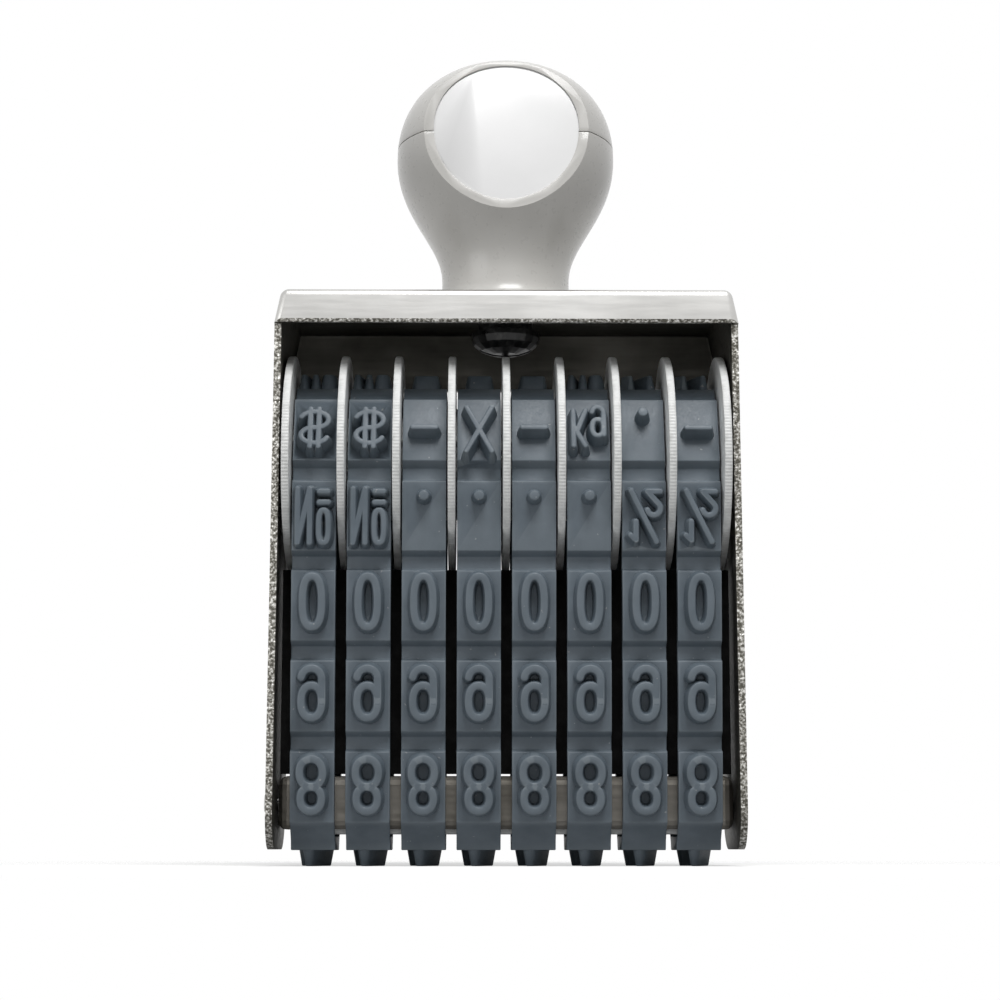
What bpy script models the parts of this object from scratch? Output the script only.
"""Numbering stamp: a bent steel frame with a plastic knob, eight character bands and their setting wheels.

Axes: +X to the right of someone facing the stamp's front, +Y to the rear, +Z up. The origin is under the
middle of the frame, on the plane that the printing characters stand on. The bands run in loops over the
wheels on the axle and under the platen at the foot. Lengths are in metres.
"""

import math

import bmesh
import bpy
from mathutils import Matrix, Vector

MM = 0.001

# Layout
BAND_COUNT = 8
BAND_PITCH = 8.0 * MM
FACE_DROP = 59.8 * MM
REST_GAP = 0.3 * MM
RUNNING_GAP = 0.25 * MM
SIDE_GAP = 0.15 * MM
CUT_OVERRUN = 2.0 * MM
WELD_DISTANCE = 0.001 * MM
SHARP_ANGLE = math.radians(35)
ROUND_STEPS = 20

# Bands
TAPE_THICKNESS = 0.8 * MM
BLOCK_RAISE = 1.2 * MM
STRIP_WIDTH = 1.85 * MM
BLOCKS_ON_BAND = 12
BLOCKS_TO_FOOT = 5
RUN_TOP_BULGE = 1.2 * MM
RUN_FOOT_REACH = 9.2 * MM
RUN_BOW = 0.3 * MM
RUN_FOOT_RISE = 8.7 * MM
NEUTRAL_DEPTH = 0.3 * MM

# Characters, one string for each row round a band, from the row on top of the wheel and down the front
CHARACTER_RAISE = 2.3 * MM
CHARACTER_SINK = 0.4 * MM
CHARACTER_MARGIN = 0.4 * MM
CHARACTER_LENGTH_SHARE = 0.77
FONT_CAP_SHARE = 0.7
DIGIT_CURVE_STEPS = 2
SYMBOL_CURVE_STEPS = 1
TALLEST_CHARACTER_SHARE = 0.88
CHARACTER_ROWS = ["NN555N½½", "$$-X-K.-", "NN....½½", *(digit * BAND_COUNT for digit in "098765432")]
WIDE_CHARACTERS = {"N": "№", "K": "Kg"}

# Setting wheels and axle
DISC_RADIUS = 16.3 * MM
DISC_THICKNESS = 1.1 * MM
DRUM_RADIUS = 8.4 * MM
DRUM_RIB_COUNT = 6
DRUM_GROOVE_DEPTH = 0.9 * MM
DRUM_RIB_SHARE = 0.55
AXLE_RADIUS = 2.0 * MM
AXLE_HEAD_RADIUS = 3.4 * MM
AXLE_HEAD_THICKNESS = 0.7 * MM
AXLE_CAP_DEPTH = 0.7 * MM
AXLE_CAP_WALL = 0.35 * MM
WASHER_RADIUS = 4.5 * MM
WASHER_THICKNESS = 0.3 * MM
DISC_STEPS = 44

# Frame
SHEET = 1.0 * MM
FRAME_SPREAD = 1.0 * MM
FRAME_DEPTH = 28.4 * MM
LIP_HEIGHT = 5.0 * MM
REAR_LIP_HEIGHT = 10.0 * MM
TOP_PINCH = 1.0 * MM
BEND_RADIUS = 1.1 * MM
BEND_STEPS = 3
BEND_ROUND_SHARE = 0.4
PLATE_SETBACK = 1.6 * MM
PLATE_TAPER = 0.8 * MM
PLATE_FOOT_CLEARANCE = 2.4 * MM
PLATE_CORNER_RADIUS = 6.0 * MM
PLATE_CORNER_STEPS = 6
LIP_CORNER_SHARE = 0.5

# Platen
PLATEN_CLEARANCE = 1.3 * MM
PLATEN_WALL = 0.9 * MM
PLATEN_HEIGHT = 7.8 * MM
PLATEN_EDGE_LIFT = 0.9 * MM
PLATEN_BEND_RADIUS = 1.3 * MM
RIVET_RADIUS = 1.2 * MM
RIVET_HEAD_RADIUS = 2.1 * MM
RIVET_HEAD_THICKNESS = 0.8 * MM

# Guard sheet behind the front runs of the bands
GUARD_REACH = 4.0 * MM
GUARD_THICKNESS = 0.8 * MM
GUARD_CLEARANCE = 0.6 * MM

# Knob
KNOB_RADIUS = 16.6 * MM
KNOB_WAIST_RADIUS = 9.65 * MM
KNOB_FOOT_FLARE = 0.95 * MM
KNOB_FLARE_SHARES = (1 / 2, 1 / 4)
KNOB_WAIST_HEIGHT = 4.0 * MM
KNOB_WIDEST_HEIGHT = 23.0 * MM
KNOB_HEIGHT = 38.0 * MM
KNOB_WAIST_PULL = 6.0 * MM
KNOB_SHOULDER_PULL = 8.7 * MM
KNOB_DOME_POWER = 2.2
KNOB_PARTING_HEIGHT = 24.5 * MM
KNOB_PROFILE_STEPS = 7
KNOB_FOOT_STEPS = 3
KNOB_ROUND_STEPS = 36
SPIGOT_WALL = 2.8 * MM
SPIGOT_LENGTH = 4.0 * MM
LABEL_DEPTH = 5.8 * MM
LABEL_HEIGHT = 26.3 * MM
LABEL_LEAN = math.radians(8.7)
LABEL_RIM = 1.05 * MM
LABEL_THICKNESS = 0.8 * MM
LABEL_RECESS = 0.2 * MM

# Knob screw
SCREW_RADIUS = 2.0 * MM
SCREW_GRIP = 12.0 * MM
SCREW_HEAD_RADIUS = 5.2 * MM
SCREW_HEAD_HEIGHT = 3.4 * MM
SCREW_HEAD_RIM = 0.8 * MM
SCREW_CLEARANCE = 0.4 * MM
SCREW_DOME_STEPS = 4
SCREW_SLOT_WIDTH = 1.0 * MM
SCREW_SLOT_DEPTH = 1.1 * MM
SPACER_RADIUS = 4.2 * MM
SPACER_HEIGHT = 2.2 * MM

# Places that follow from the sizes above
AXLE_HEIGHT = FACE_DROP
DISC_SPAN = BAND_COUNT * BAND_PITCH + DISC_THICKNESS
SCREW_DROP = SHEET + REST_GAP + SPACER_HEIGHT + REST_GAP + SCREW_HEAD_HEIGHT
FRAME_TOP = AXLE_HEIGHT + DISC_RADIUS + SCREW_CLEARANCE + SCREW_DROP
FRAME_AXLE_WIDTH = DISC_SPAN + 2 * (SIDE_GAP + WASHER_THICKNESS + SIDE_GAP + SHEET)
FRAME_WIDEST = FRAME_AXLE_WIDTH + FRAME_SPREAD
BAND_WIDTH = BAND_PITCH - DISC_THICKNESS - 2 * RUNNING_GAP
BAND_THICKNESS = TAPE_THICKNESS + BLOCK_RAISE
FLOOR_RADIUS = DRUM_RADIUS + REST_GAP + BAND_THICKNESS
NEUTRAL_RADIUS = FLOOR_RADIUS - NEUTRAL_DEPTH
RUN_TOP_REACH = FLOOR_RADIUS + RUN_TOP_BULGE
FLOOR_DROP = FACE_DROP - CHARACTER_RAISE
RUN_FOOT_DROP = FLOOR_DROP - RUN_FOOT_RISE
QUARTER_WRAP = NEUTRAL_RADIUS * math.pi / 2
BLOCK_PITCH = (RUN_FOOT_DROP + QUARTER_WRAP) / BLOCKS_TO_FOOT
BLOCK_LENGTH = BLOCK_PITCH - STRIP_WIDTH
RUN_TOP_DROP = 2 * BLOCK_PITCH - QUARTER_WRAP
CHARACTER_HEIGHT = BLOCK_LENGTH * CHARACTER_LENGTH_SHARE
CHARACTER_MAX_WIDTH = BAND_WIDTH - 2 * CHARACTER_MARGIN
BORE_RADIUS = AXLE_RADIUS + RUNNING_GAP
PLATEN_DEPTH = 2 * (RUN_FOOT_REACH - BAND_THICKNESS - PLATEN_CLEARANCE)
PLATEN_INNER_TOP = CHARACTER_RAISE + BAND_THICKNESS
PLATEN_BOTTOM = PLATEN_INNER_TOP + PLATEN_EDGE_LIFT
PLATEN_TOP = PLATEN_BOTTOM + PLATEN_HEIGHT
RIVET_HEIGHT = PLATEN_BOTTOM + PLATEN_HEIGHT / 2
GUARD_REAR = GUARD_REACH - GUARD_THICKNESS / 2
GUARD_TOP = AXLE_HEIGHT - math.sqrt((DISC_RADIUS + GUARD_CLEARANCE) ** 2 - GUARD_REAR**2)
KNOB_BASE = FRAME_TOP + REST_GAP
KNOB_FOOT_RADIUS = KNOB_WAIST_RADIUS + KNOB_FOOT_FLARE
SPACER_TOP = FRAME_TOP - SHEET - REST_GAP
SCREW_HEAD_TOP = SPACER_TOP - SPACER_HEIGHT - REST_GAP
LABEL_REACH = KNOB_RADIUS - LABEL_DEPTH
LABEL_POCKET_DEPTH = LABEL_RECESS + LABEL_THICKNESS + REST_GAP
SPIGOT_RADIUS = LABEL_REACH - LABEL_POCKET_DEPTH - SPIGOT_WALL

GREY_PLASTIC = (0.56, 0.55, 0.52)
NICKEL = (0.62, 0.62, 0.60)
RUBBER = (0.11, 0.14, 0.17)
PALE_PLASTIC = (0.80, 0.81, 0.80)
WHITE_PLATE = (0.92, 0.92, 0.92)
BLACK_STEEL = (0.02, 0.02, 0.02)


def clear_scene():
    for thing in list(bpy.data.objects):
        bpy.data.objects.remove(thing, do_unlink=True)


def make_collection(name):
    collection = bpy.data.collections.new(name)
    bpy.context.scene.collection.children.link(collection)
    return collection


def make_material(name, colour, roughness, metallic=0.0):
    material = bpy.data.materials.new(name)
    material.use_nodes = True
    shader = material.node_tree.nodes["Principled BSDF"]
    shader.inputs["Base Color"].default_value = (*colour, 1.0)
    shader.inputs["Roughness"].default_value = roughness
    shader.inputs["Metallic"].default_value = metallic
    return material


def smooth(thing):
    thing.data.shade_smooth()
    thing.data.set_sharp_from_angle(angle=SHARP_ANGLE)


def add_object(name, mesh, collection):
    thing = bpy.data.objects.new(name, mesh)
    collection.objects.link(thing)
    return thing


def settled_mesh(thing):
    """The object's mesh with its modifiers applied and loose curve caps welded."""
    graph = bpy.context.evaluated_depsgraph_get()
    graph.update()
    mesh = bpy.data.meshes.new_from_object(thing.evaluated_get(graph))
    welded = bmesh.new()
    welded.from_mesh(mesh)
    bmesh.ops.remove_doubles(welded, verts=welded.verts, dist=WELD_DISTANCE)
    welded.to_mesh(mesh)
    welded.free()
    return mesh


def settle(thing):
    mesh = settled_mesh(thing)
    thing.modifiers.clear()
    thing.data = mesh


def turn_profile(name, profile, collection, steps=ROUND_STEPS, axis="Z"):
    """A solid of revolution: profile holds (radius, place along the axis) points down the outer side."""
    mesh = bpy.data.meshes.new(name)
    edges = [(i, i + 1) for i in range(len(profile) - 1)]
    mesh.from_pydata([(radius, 0, along) for radius, along in profile], edges, [])
    thing = add_object(name, mesh, collection)
    screw = thing.modifiers.new("Turn", "SCREW")
    screw.axis = "Z"
    screw.steps = steps
    screw.render_steps = steps
    screw.use_merge_vertices = True
    screw.merge_threshold = WELD_DISTANCE
    screw.use_normal_calculate = True
    settle(thing)
    if axis == "X":
        thing.data.transform(Matrix.Rotation(math.pi / 2, 4, "Y"))
    face_outward(thing.data)
    return thing


def face_outward(mesh):
    shell = bmesh.new()
    shell.from_mesh(mesh)
    bmesh.ops.recalc_face_normals(shell, faces=shell.faces)
    if shell.calc_volume(signed=True) < 0:
        bmesh.ops.reverse_faces(shell, faces=shell.faces)
    shell.to_mesh(mesh)
    shell.free()


def side_prism(name, outlines, width, collection):
    """Outlines of (Y, Z) points, extruded along X and centred on X = 0."""
    curve = bpy.data.curves.new(name, "CURVE")
    curve.dimensions = "2D"
    curve.fill_mode = "BOTH"
    curve.extrude = width / 2
    for outline in outlines:
        spline = curve.splines.new("POLY")
        spline.points.add(len(outline) - 1)
        for point, (across, up) in zip(spline.points, outline):
            point.co = (across, up, 0, 1)
        spline.use_cyclic_u = True
    drawing = add_object(name + "_outline", curve, collection)
    mesh = settled_mesh(drawing)
    bpy.data.objects.remove(drawing)
    mesh.transform(Matrix(((0, 0, 1, 0), (1, 0, 0, 0), (0, 1, 0, 0), (0, 0, 0, 1))))
    face_outward(mesh)
    return add_object(name, mesh, collection)


def rod(name, radius, start, end, collection, steps=ROUND_STEPS):
    """A cylinder between two points on a line along X or Z."""
    start, end = Vector(start), Vector(end)
    shell = bmesh.new()
    bmesh.ops.create_cone(
        shell,
        cap_ends=True,
        segments=steps,
        radius1=radius,
        radius2=radius,
        depth=(end - start).length,
    )
    turn = (end - start).to_track_quat("Z", "Y").to_matrix().to_4x4()
    shell.transform(Matrix.Translation((start + end) / 2) @ turn)
    mesh = bpy.data.meshes.new(name)
    shell.to_mesh(mesh)
    shell.free()
    return add_object(name, mesh, collection)


def block(name, low, high, collection):
    low, high = Vector(low), Vector(high)
    shell = bmesh.new()
    bmesh.ops.create_cube(shell, size=1)
    size = Matrix.Diagonal((*(high - low), 1))
    shell.transform(Matrix.Translation((low + high) / 2) @ size)
    mesh = bpy.data.meshes.new(name)
    shell.to_mesh(mesh)
    shell.free()
    return add_object(name, mesh, collection)


def combine(thing, other, operation, tangled=False):
    """Cuts, joins or intersects thing with other. A tangled mesh is one that crosses itself."""
    boolean = thing.modifiers.new(operation.title(), "BOOLEAN")
    boolean.operation = operation
    boolean.solver = "EXACT"
    boolean.use_self = tangled
    boolean.object = other
    settle(thing)


def finish_part(thing, parts, material, origin=(0, 0, 0)):
    """Moves a built object into the parts collection with its origin at the point given."""
    thing.data.transform(Matrix.Translation(-Vector(origin)))
    thing.location = origin
    for collection in list(thing.users_collection):
        collection.objects.unlink(thing)
    parts.objects.link(thing)
    thing.data.materials.clear()
    thing.data.materials.append(material)
    smooth(thing)


def run_reach(drop):
    """Half the band loop's depth at its block floors, at a drop below the axle along either run."""
    share = (drop - RUN_TOP_DROP) / (RUN_FOOT_DROP - RUN_TOP_DROP)
    straight = RUN_TOP_REACH + (RUN_FOOT_REACH - RUN_TOP_REACH) * share
    return straight + RUN_BOW * 4 * share * (1 - share)


def block_place(index):
    """The (Y, Z) middle of a block's floor and the angle of its outward normal from the front, upwards."""
    foot_index = BLOCKS_ON_BAND // 2
    if index > foot_index:
        (across, up), lean = block_place(BLOCKS_ON_BAND - index)
        return (-across, up), math.pi - lean
    if index == foot_index:
        return (0.0, AXLE_HEIGHT - FLOOR_DROP), -math.pi / 2
    travel = index * BLOCK_PITCH
    if travel < QUARTER_WRAP:
        turn = travel / NEUTRAL_RADIUS
        place = (-FLOOR_RADIUS * math.sin(turn), AXLE_HEIGHT + FLOOR_RADIUS * math.cos(turn))
        return place, math.pi / 2 - turn
    drop = travel - QUARTER_WRAP
    step = STRIP_WIDTH
    slope = (run_reach(drop + step) - run_reach(drop - step)) / (2 * step)
    return (-run_reach(drop), AXLE_HEIGHT - drop), math.atan(slope)


def block_frame(index):
    """Matrix from a block's own frame (X right, Y towards the block before it, Z out) to the stamp's."""
    (across, up), lean = block_place(index)
    outward = Vector((0, -math.cos(lean), math.sin(lean)))
    right = Vector((1, 0, 0))
    ahead = outward.cross(right)
    matrix = Matrix((right, ahead, outward)).transposed().to_4x4()
    matrix.translation = (0, across, up)
    return matrix


def band_outlines():
    """The outer outline of tape and blocks, and the inner outline of the tape, as (Y, Z) points."""
    outer, inner = [], []
    half = BLOCK_LENGTH / 2
    for index in range(BLOCKS_ON_BAND):
        matrix = block_frame(index)
        for along, depth in ((half, -BLOCK_RAISE), (half, 0), (-half, 0), (-half, -BLOCK_RAISE)):
            point = matrix @ Vector((0, along, depth))
            outer.append((point.y, point.z))
        for along in (half, -half):
            point = matrix @ Vector((0, along, -BAND_THICKNESS))
            inner.append((point.y, point.z))
    return outer, inner


def character_mesh(text):
    """A raised character, flipped so that it reads rightly when it prints, centred on its block's floor."""
    curve = bpy.data.curves.new("character", "FONT")
    curve.body = text
    curve.size = CHARACTER_HEIGHT / FONT_CAP_SHARE
    curve.extrude = (CHARACTER_RAISE + CHARACTER_SINK) / 2
    curve.resolution_u = DIGIT_CURVE_STEPS if text.isdigit() or text == "." else SYMBOL_CURVE_STEPS
    curve.align_x = "CENTER"
    drawing = bpy.data.objects.new("character", curve)
    bpy.context.scene.collection.objects.link(drawing)
    mesh = settled_mesh(drawing)
    bpy.data.objects.remove(drawing)
    wide = max(v.co.x for v in mesh.vertices) - min(v.co.x for v in mesh.vertices)
    middle = (max(v.co.x for v in mesh.vertices) + min(v.co.x for v in mesh.vertices)) / 2
    low = min(0, min(v.co.y for v in mesh.vertices))
    high = max(CHARACTER_HEIGHT, max(v.co.y for v in mesh.vertices))
    squeeze = min(1, CHARACTER_MAX_WIDTH / wide)
    shorten = min(1, TALLEST_CHARACTER_SHARE * BLOCK_LENGTH / (high - low))
    mesh.transform(Matrix.Translation((-middle, -(low + high) / 2, (CHARACTER_RAISE - CHARACTER_SINK) / 2)))
    mesh.transform(Matrix.Diagonal((squeeze, -shorten, 1, 1)))
    face_outward(mesh)
    return mesh


def build_bands(parts, guides, rubber):
    outer, inner = band_outlines()
    plain = side_prism("plain_band", [outer, inner], BAND_WIDTH, guides)
    meshes = {}
    for number in range(BAND_COUNT):
        place = Vector((band_x(number), 0, 0))
        letters = bmesh.new()
        for index, row in enumerate(CHARACTER_ROWS):
            text = WIDE_CHARACTERS.get(row[number], row[number])
            if text not in meshes:
                meshes[text] = character_mesh(text)
            copy = meshes[text].copy()
            copy.transform(block_frame(index))
            letters.from_mesh(copy)
        mesh = bpy.data.meshes.new("characters")
        letters.to_mesh(mesh)
        letters.free()
        type_guide = add_object(f"band_{number + 1}_characters", mesh, guides)
        band = add_object(f"band_{number + 1}", plain.data.copy(), guides)
        combine(band, type_guide, "UNION", tangled=True)
        band.data.transform(Matrix.Translation(place))
        finish_part(band, parts, rubber)


def disc_x(number):
    return (number - BAND_COUNT / 2) * BAND_PITCH


def band_x(number):
    return disc_x(number) + BAND_PITCH / 2


def drum_outline():
    """A ribbed circle round the axle, with a rib centred on the front."""
    outline = []
    pitch = 2 * math.pi / DRUM_RIB_COUNT
    for rib in range(DRUM_RIB_COUNT):
        start = rib * pitch
        for share, radius in (
            (-DRUM_RIB_SHARE / 2, DRUM_RADIUS),
            (DRUM_RIB_SHARE / 2, DRUM_RADIUS),
            (DRUM_RIB_SHARE / 2, DRUM_RADIUS - DRUM_GROOVE_DEPTH),
            (1 - DRUM_RIB_SHARE / 2, DRUM_RADIUS - DRUM_GROOVE_DEPTH),
        ):
            angle = start + share * pitch
            outline.append((radius * math.cos(angle), radius * math.sin(angle)))
    return outline


def build_wheels(parts, guides, plastic):
    half = DISC_THICKNESS / 2
    drum_end = BAND_PITCH - half - RUNNING_GAP
    bore = rod("wheel_bore", BORE_RADIUS, (-BAND_PITCH, 0, 0), (BAND_PITCH * 2, 0, 0), guides)
    wheel = rod("wheel", DISC_RADIUS, (-half, 0, 0), (half, 0, 0), guides, DISC_STEPS)
    plain_disc = add_object("plain_disc", wheel.data.copy(), guides)
    drum = side_prism("drum", [drum_outline()], drum_end, guides)
    drum.data.transform(Matrix.Translation((drum_end / 2, 0, 0)))
    combine(wheel, drum, "UNION")
    combine(wheel, bore, "DIFFERENCE")
    combine(plain_disc, bore, "DIFFERENCE")
    turned = [(f"wheel_{number + 1}", wheel, disc_x(number)) for number in range(BAND_COUNT)]
    turned.append(("end_disc", plain_disc, disc_x(BAND_COUNT)))
    for name, source, across in turned:
        copy = add_object(name, source.data.copy(), guides)
        copy.data.transform(Matrix.Translation((across, 0, AXLE_HEIGHT)))
        finish_part(copy, parts, plastic, (across, 0, AXLE_HEIGHT))


def frame_half_width(height):
    """Half the frame's outer width at a height above the table: its plates lean out towards the foot."""
    share = (AXLE_HEIGHT - height) / (FRAME_TOP - PLATE_FOOT_CLEARANCE)
    return (FRAME_AXLE_WIDTH + FRAME_SPREAD * share) / 2


def bent_box(name, inset, bottom, top, depth, radius, widths, guides):
    """A box with rounded upright and top edges, and half widths given for its bottom and its top."""
    shell = bmesh.new()
    bmesh.ops.create_cube(shell, size=1)
    for vert in shell.verts:
        upper = vert.co.z > 0
        half_width = widths[1] if upper else widths[0]
        vert.co.x = math.copysign(half_width - inset, vert.co.x)
        vert.co.y = math.copysign(depth / 2 - inset, vert.co.y)
        vert.co.z = top - inset if upper else bottom
    bent = [e for e in shell.edges if max(v.co.z for v in e.verts) > bottom]
    corner = max(radius - inset, SHEET * BEND_ROUND_SHARE)
    bmesh.ops.bevel(shell, geom=bent, offset=corner, segments=BEND_STEPS, affect="EDGES", profile=0.5)
    mesh = bpy.data.meshes.new(name)
    shell.to_mesh(mesh)
    shell.free()
    face_outward(mesh)
    return add_object(name, mesh, guides)


def corner_arc(centre, radius, start, end):
    points = []
    for step in range(PLATE_CORNER_STEPS + 1):
        angle = start + (end - start) * step / PLATE_CORNER_STEPS
        points.append((centre[0] + radius * math.cos(angle), centre[1] + radius * math.sin(angle)))
    return points


def frame_side_outline():
    """The frame seen from its side: the deep top with its lips, and a plate down to a rounded foot."""
    wide = FRAME_DEPTH / 2 + CUT_OVERRUN
    neck = FRAME_DEPTH / 2 - PLATE_SETBACK
    foot = neck - PLATE_TAPER
    fillet = BEND_RADIUS * LIP_CORNER_SHARE
    corner_y = foot - PLATE_CORNER_RADIUS
    corner_z = PLATE_FOOT_CLEARANCE + PLATE_CORNER_RADIUS
    halves = []
    for lip_height in (REAR_LIP_HEIGHT, LIP_HEIGHT):
        lip_bottom = FRAME_TOP - lip_height
        half = [(wide, FRAME_TOP + CUT_OVERRUN), (wide, lip_bottom), (neck + fillet, lip_bottom)]
        half.append((neck, lip_bottom - fillet))
        half += reversed(corner_arc((corner_y, corner_z), PLATE_CORNER_RADIUS, -math.pi / 2, 0))
        halves.append(half)
    rear, front = halves
    return rear + [(-across, up) for across, up in reversed(front)]


def pinch_top(mesh):
    """Draws the frame in across its width over the height of its front lip, the most at its top."""
    half_width = frame_half_width(FRAME_TOP)
    lip_bottom = FRAME_TOP - LIP_HEIGHT
    shell = bmesh.new()
    shell.from_mesh(mesh)
    geometry = [*shell.verts, *shell.edges, *shell.faces]
    bmesh.ops.bisect_plane(
        shell, geom=geometry, dist=WELD_DISTANCE, plane_co=(0, 0, lip_bottom), plane_no=(0, 0, 1)
    )
    for vert in shell.verts:
        rise = max(0, vert.co.z - lip_bottom) / LIP_HEIGHT
        vert.co.x *= 1 - rise * TOP_PINCH / half_width
    shell.to_mesh(mesh)
    shell.free()


def build_frame(parts, guides, steel):
    floor = -CUT_OVERRUN
    widths = (frame_half_width(floor), frame_half_width(FRAME_TOP))
    frame = bent_box("frame", 0, floor, FRAME_TOP, FRAME_DEPTH, BEND_RADIUS, widths, guides)
    hollow = bent_box(
        "frame_hollow", SHEET, floor - CUT_OVERRUN, FRAME_TOP, FRAME_DEPTH, BEND_RADIUS, widths, guides
    )
    outline = side_prism("frame_side", [frame_side_outline()], 2 * FRAME_WIDEST, guides)
    combine(frame, hollow, "DIFFERENCE")
    combine(frame, outline, "INTERSECT")
    pinch_top(frame.data)
    across = FRAME_WIDEST
    axle_hole = rod("axle_hole", BORE_RADIUS, (-across, 0, AXLE_HEIGHT), (across, 0, AXLE_HEIGHT), guides)
    rivet_hole = rod(
        "rivet_hole",
        RIVET_RADIUS + REST_GAP,
        (-across, 0, RIVET_HEIGHT),
        (across, 0, RIVET_HEIGHT),
        guides,
    )
    screw_hole = rod(
        "screw_hole",
        SCREW_RADIUS + REST_GAP,
        (0, 0, FRAME_TOP - SHEET - CUT_OVERRUN),
        (0, 0, FRAME_TOP + CUT_OVERRUN),
        guides,
    )
    for cutter in (axle_hole, rivet_hole, screw_hole):
        combine(frame, cutter, "DIFFERENCE")
    finish_part(frame, parts, steel)


def build_axle(parts, guides, steel):
    """The axle, with a formed head at its left end, a push-on cap at its right end and two washers."""
    plate = frame_half_width(AXLE_HEIGHT)
    head = plate + SIDE_GAP
    tip = head + AXLE_CAP_DEPTH - AXLE_CAP_WALL
    profile = [
        (0, tip),
        (AXLE_RADIUS, tip),
        (AXLE_RADIUS, -head),
        (AXLE_HEAD_RADIUS, -head),
        (AXLE_HEAD_RADIUS, -head - AXLE_HEAD_THICKNESS),
        (0, -head - AXLE_HEAD_THICKNESS),
    ]
    axle = turn_profile("wheel_axle", profile, guides, axis="X")
    axle.data.transform(Matrix.Translation((0, 0, AXLE_HEIGHT)))
    finish_part(axle, parts, steel)
    cap = rod(
        "axle_cap",
        AXLE_HEAD_RADIUS,
        (head, 0, AXLE_HEIGHT),
        (tip + SIDE_GAP + AXLE_CAP_WALL, 0, AXLE_HEIGHT),
        guides,
    )
    socket = rod(
        "axle_cap_socket",
        BORE_RADIUS,
        (head - CUT_OVERRUN, 0, AXLE_HEIGHT),
        (tip + SIDE_GAP, 0, AXLE_HEIGHT),
        guides,
    )
    combine(cap, socket, "DIFFERENCE")
    finish_part(cap, parts, steel)
    for name, side in (("axle_washer_left", -1), ("axle_washer_right", 1)):
        near = side * (DISC_SPAN / 2 + SIDE_GAP)
        far = near + side * WASHER_THICKNESS
        washer = rod(name, WASHER_RADIUS, (near, 0, AXLE_HEIGHT), (far, 0, AXLE_HEIGHT), guides)
        hole = rod(
            name + "_hole",
            BORE_RADIUS,
            (near - side * CUT_OVERRUN, 0, AXLE_HEIGHT),
            (far + side * CUT_OVERRUN, 0, AXLE_HEIGHT),
            guides,
        )
        combine(washer, hole, "DIFFERENCE")
        finish_part(washer, parts, steel)


def build_platen(parts, guides, steel, plastic):
    """A bent sheet bracket across the foot, open below, with a bar in it that backs the bands."""
    end = frame_half_width(PLATEN_TOP) - SHEET - REST_GAP
    bracket = bent_box(
        "platen_bracket", 0, PLATEN_BOTTOM, PLATEN_TOP, PLATEN_DEPTH, PLATEN_BEND_RADIUS, (end, end), guides
    )
    hollow = bent_box(
        "platen_hollow",
        PLATEN_WALL,
        PLATEN_BOTTOM - CUT_OVERRUN,
        PLATEN_TOP,
        PLATEN_DEPTH,
        PLATEN_BEND_RADIUS,
        (end, end),
        guides,
    )
    across = FRAME_WIDEST
    hole = rod(
        "platen_rivet_hole",
        RIVET_RADIUS + REST_GAP,
        (-across, 0, RIVET_HEIGHT),
        (across, 0, RIVET_HEIGHT),
        guides,
    )
    combine(bracket, hollow, "DIFFERENCE")
    combine(bracket, hole, "DIFFERENCE")
    finish_part(bracket, parts, steel)
    inside = PLATEN_DEPTH / 2 - PLATEN_WALL - REST_GAP
    pad_end = end - PLATEN_WALL - RIVET_HEAD_THICKNESS - 2 * REST_GAP
    pad = block(
        "platen_pad",
        (-pad_end, -inside, PLATEN_INNER_TOP + REST_GAP),
        (pad_end, inside, PLATEN_TOP - PLATEN_WALL - REST_GAP),
        guides,
    )
    bevel = pad.modifiers.new("Edges", "BEVEL")
    bevel.width = REST_GAP
    bevel.segments = 2
    settle(pad)
    finish_part(pad, parts, plastic)
    outer = frame_half_width(RIVET_HEIGHT) + REST_GAP
    inner = end - PLATEN_WALL - REST_GAP
    profile = [
        (0, outer + RIVET_HEAD_THICKNESS),
        (RIVET_RADIUS, outer + RIVET_HEAD_THICKNESS),
        (RIVET_HEAD_RADIUS, outer + RIVET_HEAD_THICKNESS / 2),
        (RIVET_HEAD_RADIUS, outer),
        (RIVET_RADIUS, outer),
        (RIVET_RADIUS, inner),
        (RIVET_HEAD_RADIUS, inner),
        (RIVET_HEAD_RADIUS, inner - RIVET_HEAD_THICKNESS),
        (0, inner - RIVET_HEAD_THICKNESS),
    ]
    for name, turn in (("platen_rivet_right", 0), ("platen_rivet_left", math.pi)):
        rivet = turn_profile(name, profile, guides, axis="X")
        rivet.data.transform(Matrix.Rotation(turn, 4, "Z"))
        rivet.data.transform(Matrix.Translation((0, 0, RIVET_HEIGHT)))
        finish_part(rivet, parts, steel)


def build_guard(parts, guides, black):
    """A dark sheet that stands on the platen bracket, behind the front runs of the bands."""
    end = frame_half_width(GUARD_TOP) - SHEET - REST_GAP
    guard = block(
        "guard_sheet",
        (-end, -GUARD_REAR - GUARD_THICKNESS, PLATEN_TOP + REST_GAP),
        (end, -GUARD_REAR, GUARD_TOP),
        guides,
    )
    finish_part(guard, parts, black)


def bezier_points(start, start_pull, end_pull, end, steps):
    points = []
    for step in range(steps + 1):
        t = step / steps
        weights = ((1 - t) ** 3, 3 * (1 - t) ** 2 * t, 3 * (1 - t) * t**2, t**3)
        pairs = zip(weights, (start, start_pull, end_pull, end))
        total = [0.0, 0.0]
        for weight, (radius, height) in pairs:
            total[0] += weight * radius
            total[1] += weight * height
        points.append(tuple(total))
    return points


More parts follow.
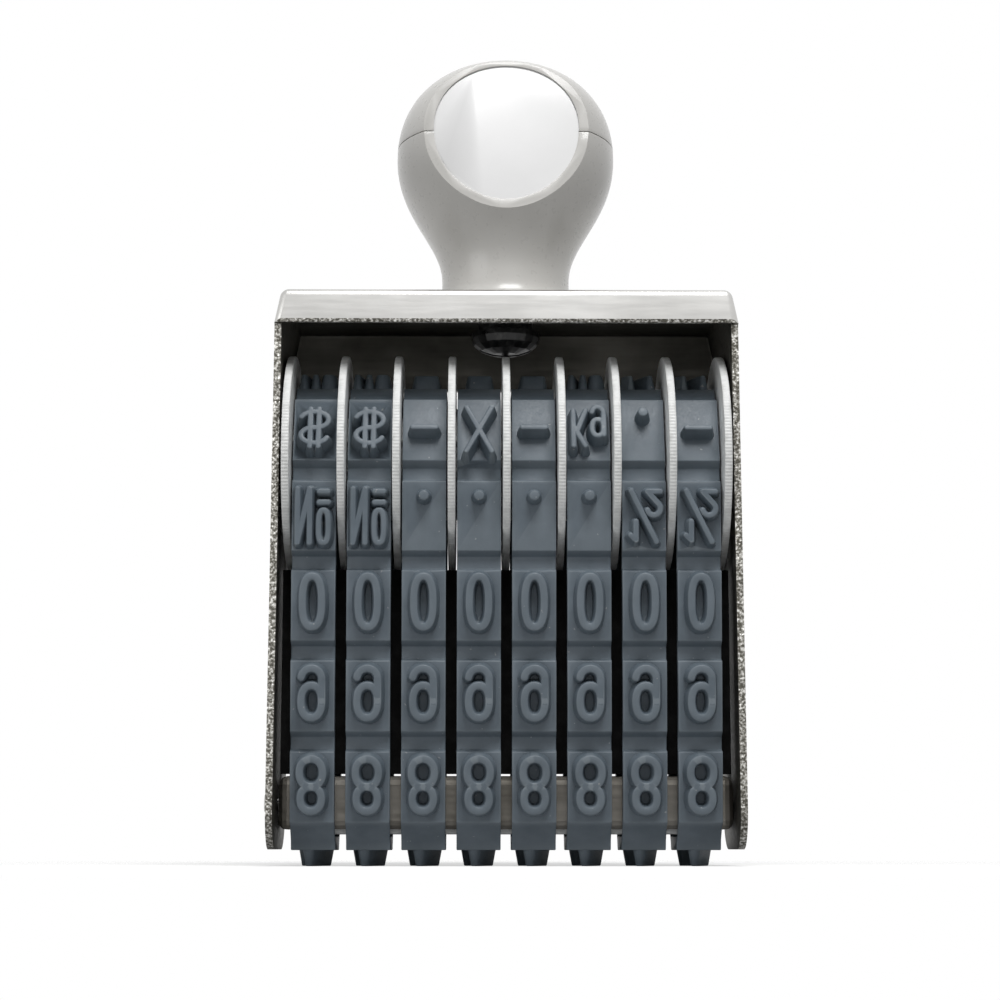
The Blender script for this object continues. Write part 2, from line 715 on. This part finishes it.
def knob_profile(inset):
    """Half the knob's outline as (radius, height) points from its top to its foot, moved in by inset."""
    dome = []
    rise = KNOB_HEIGHT - KNOB_WIDEST_HEIGHT
    for step in range(KNOB_PROFILE_STEPS):
        angle = math.pi / 2 * (1 - step / KNOB_PROFILE_STEPS)
        radius = KNOB_RADIUS * math.cos(angle) ** (2 / KNOB_DOME_POWER)
        height = KNOB_WIDEST_HEIGHT + rise * math.sin(angle) ** (2 / KNOB_DOME_POWER)
        dome.append((radius, height))
    side = bezier_points(
        (KNOB_RADIUS, KNOB_WIDEST_HEIGHT),
        (KNOB_RADIUS, KNOB_WIDEST_HEIGHT - KNOB_SHOULDER_PULL),
        (KNOB_WAIST_RADIUS, KNOB_WAIST_HEIGHT + KNOB_WAIST_PULL),
        (KNOB_WAIST_RADIUS, KNOB_WAIST_HEIGHT),
        KNOB_PROFILE_STEPS,
    )
    flare = bezier_points(
        (KNOB_WAIST_RADIUS, KNOB_WAIST_HEIGHT),
        (KNOB_WAIST_RADIUS, KNOB_WAIST_HEIGHT * KNOB_FLARE_SHARES[0]),
        (KNOB_WAIST_RADIUS, KNOB_WAIST_HEIGHT * KNOB_FLARE_SHARES[1]),
        (KNOB_FOOT_RADIUS, 0),
        KNOB_FOOT_STEPS,
    )
    outline = dome + side + flare[1:]
    drawn_in = [(max(radius - inset, 0), height) for radius, height in outline]
    return [(0, drawn_in[0][1]), *drawn_in[1:], (0, 0)]


def knob_solid(name, inset, guides):
    solid = turn_profile(name, knob_profile(inset), guides, steps=KNOB_ROUND_STEPS)
    solid.data.transform(Matrix.Translation((0, 0, KNOB_BASE)))
    return solid


def label_slab(name, near, far, guides):
    """A slab parallel to the label face, from near to far in front of it, wider than the knob."""
    size = 2 * KNOB_HEIGHT
    slab = block(name, (-size, near, -size), (size, far, size), guides)
    lean = Matrix.Rotation(LABEL_LEAN, 4, "X")
    middle = Vector((0, -LABEL_REACH, KNOB_BASE + LABEL_HEIGHT))
    slab.data.transform(Matrix.Translation(middle) @ lean.inverted())
    return slab


def build_knob(parts, guides, grey, white):
    """The knob's body and cap, with a leaning flat at the front that seats the label plate."""
    face_front = label_slab("label_face_cut", -KNOB_HEIGHT, 0, guides)
    core = knob_solid("knob_core", LABEL_RIM, guides)
    seat = add_object("label_seat", core.data.copy(), guides)
    combine(seat, label_slab("seat_slab", -KNOB_HEIGHT, LABEL_POCKET_DEPTH, guides), "INTERSECT")
    plate_core = knob_solid("plate_core", LABEL_RIM + REST_GAP / 2, guides)
    plate_slab = label_slab("plate_slab", LABEL_RECESS, LABEL_RECESS + LABEL_THICKNESS, guides)
    combine(plate_core, plate_slab, "INTERSECT")

    wide = 2 * KNOB_HEIGHT
    half_gap = REST_GAP / 2
    parting = KNOB_BASE + KNOB_PARTING_HEIGHT
    body = knob_solid("handle_body", 0, guides)
    cap = add_object("handle_cap", body.data.copy(), guides)
    for half in (body, cap):
        combine(half, face_front, "DIFFERENCE")
        combine(half, seat, "DIFFERENCE")
    above = block("above_parting", (-wide, -wide, parting - half_gap), (wide, wide, parting + wide), guides)
    below = block("below_parting", (-wide, -wide, parting - wide), (wide, wide, parting + half_gap), guides)
    combine(body, above, "DIFFERENCE")
    combine(cap, below, "DIFFERENCE")
    spigot = rod(
        "cap_spigot",
        SPIGOT_RADIUS,
        (0, 0, parting - SPIGOT_LENGTH),
        (0, 0, parting + CUT_OVERRUN),
        guides,
    )
    socket = rod(
        "cap_socket",
        SPIGOT_RADIUS + REST_GAP,
        (0, 0, parting - SPIGOT_LENGTH - REST_GAP),
        (0, 0, parting + CUT_OVERRUN),
        guides,
    )
    combine(cap, spigot, "UNION")
    combine(body, socket, "DIFFERENCE")
    bore = rod(
        "screw_bore",
        SCREW_RADIUS + REST_GAP,
        (0, 0, KNOB_BASE - CUT_OVERRUN),
        (0, 0, KNOB_BASE + SCREW_GRIP + REST_GAP),
        guides,
    )
    combine(body, bore, "DIFFERENCE")
    finish_part(body, parts, grey)
    finish_part(cap, parts, grey)
    plate_core.name = "label_plate"
    finish_part(plate_core, parts, white)


def build_screw(parts, guides, black):
    """The screw that holds the knob from under the frame's top, its domed head down, and a spacer ring."""
    dome_height = SCREW_HEAD_HEIGHT - SCREW_HEAD_RIM
    profile = [
        (0, KNOB_BASE + SCREW_GRIP),
        (SCREW_RADIUS, KNOB_BASE + SCREW_GRIP),
        (SCREW_RADIUS, SCREW_HEAD_TOP),
        (SCREW_HEAD_RADIUS, SCREW_HEAD_TOP),
    ]
    for step in range(SCREW_DOME_STEPS):
        angle = math.pi / 2 * step / SCREW_DOME_STEPS
        radius = SCREW_HEAD_RADIUS * math.cos(angle)
        profile.append((radius, SCREW_HEAD_TOP - SCREW_HEAD_RIM - dome_height * math.sin(angle)))
    bottom = SCREW_HEAD_TOP - SCREW_HEAD_HEIGHT
    profile.append((0, bottom))
    screw = turn_profile("handle_screw", profile, guides)
    slot = block(
        "screw_slot",
        (-SCREW_HEAD_RADIUS, -SCREW_SLOT_WIDTH / 2, bottom - CUT_OVERRUN),
        (SCREW_HEAD_RADIUS, SCREW_SLOT_WIDTH / 2, bottom + SCREW_SLOT_DEPTH),
        guides,
    )
    combine(screw, slot, "DIFFERENCE")
    finish_part(screw, parts, black)
    foot = SPACER_TOP - SPACER_HEIGHT
    spacer = rod("handle_spacer", SPACER_RADIUS, (0, 0, foot), (0, 0, SPACER_TOP), guides)
    hole = rod(
        "spacer_hole",
        SCREW_RADIUS + REST_GAP,
        (0, 0, foot - CUT_OVERRUN),
        (0, 0, SPACER_TOP + CUT_OVERRUN),
        guides,
    )
    combine(spacer, hole, "DIFFERENCE")
    finish_part(spacer, parts, black)


def main():
    clear_scene()
    parts = make_collection("numbering_stamp")
    guides = make_collection("guides")
    grey = make_material("grey_plastic", GREY_PLASTIC, 0.3)
    nickel = make_material("nickel_plated_steel", NICKEL, 0.3, 1.0)
    rubber = make_material("band_rubber", RUBBER, 0.6)
    pale = make_material("pale_plastic", PALE_PLASTIC, 0.45)
    white = make_material("white_plate", WHITE_PLATE, 0.35)
    black = make_material("black_steel", BLACK_STEEL, 0.35, 0.6)
    build_frame(parts, guides, nickel)
    build_axle(parts, guides, nickel)
    build_wheels(parts, guides, pale)
    build_bands(parts, guides, rubber)
    build_platen(parts, guides, nickel, pale)
    build_guard(parts, guides, black)
    build_knob(parts, guides, grey, white)
    build_screw(parts, guides, black)
    for guide in guides.objects:
        guide.hide_render = True
        guide.display_type = "WIRE"


main()
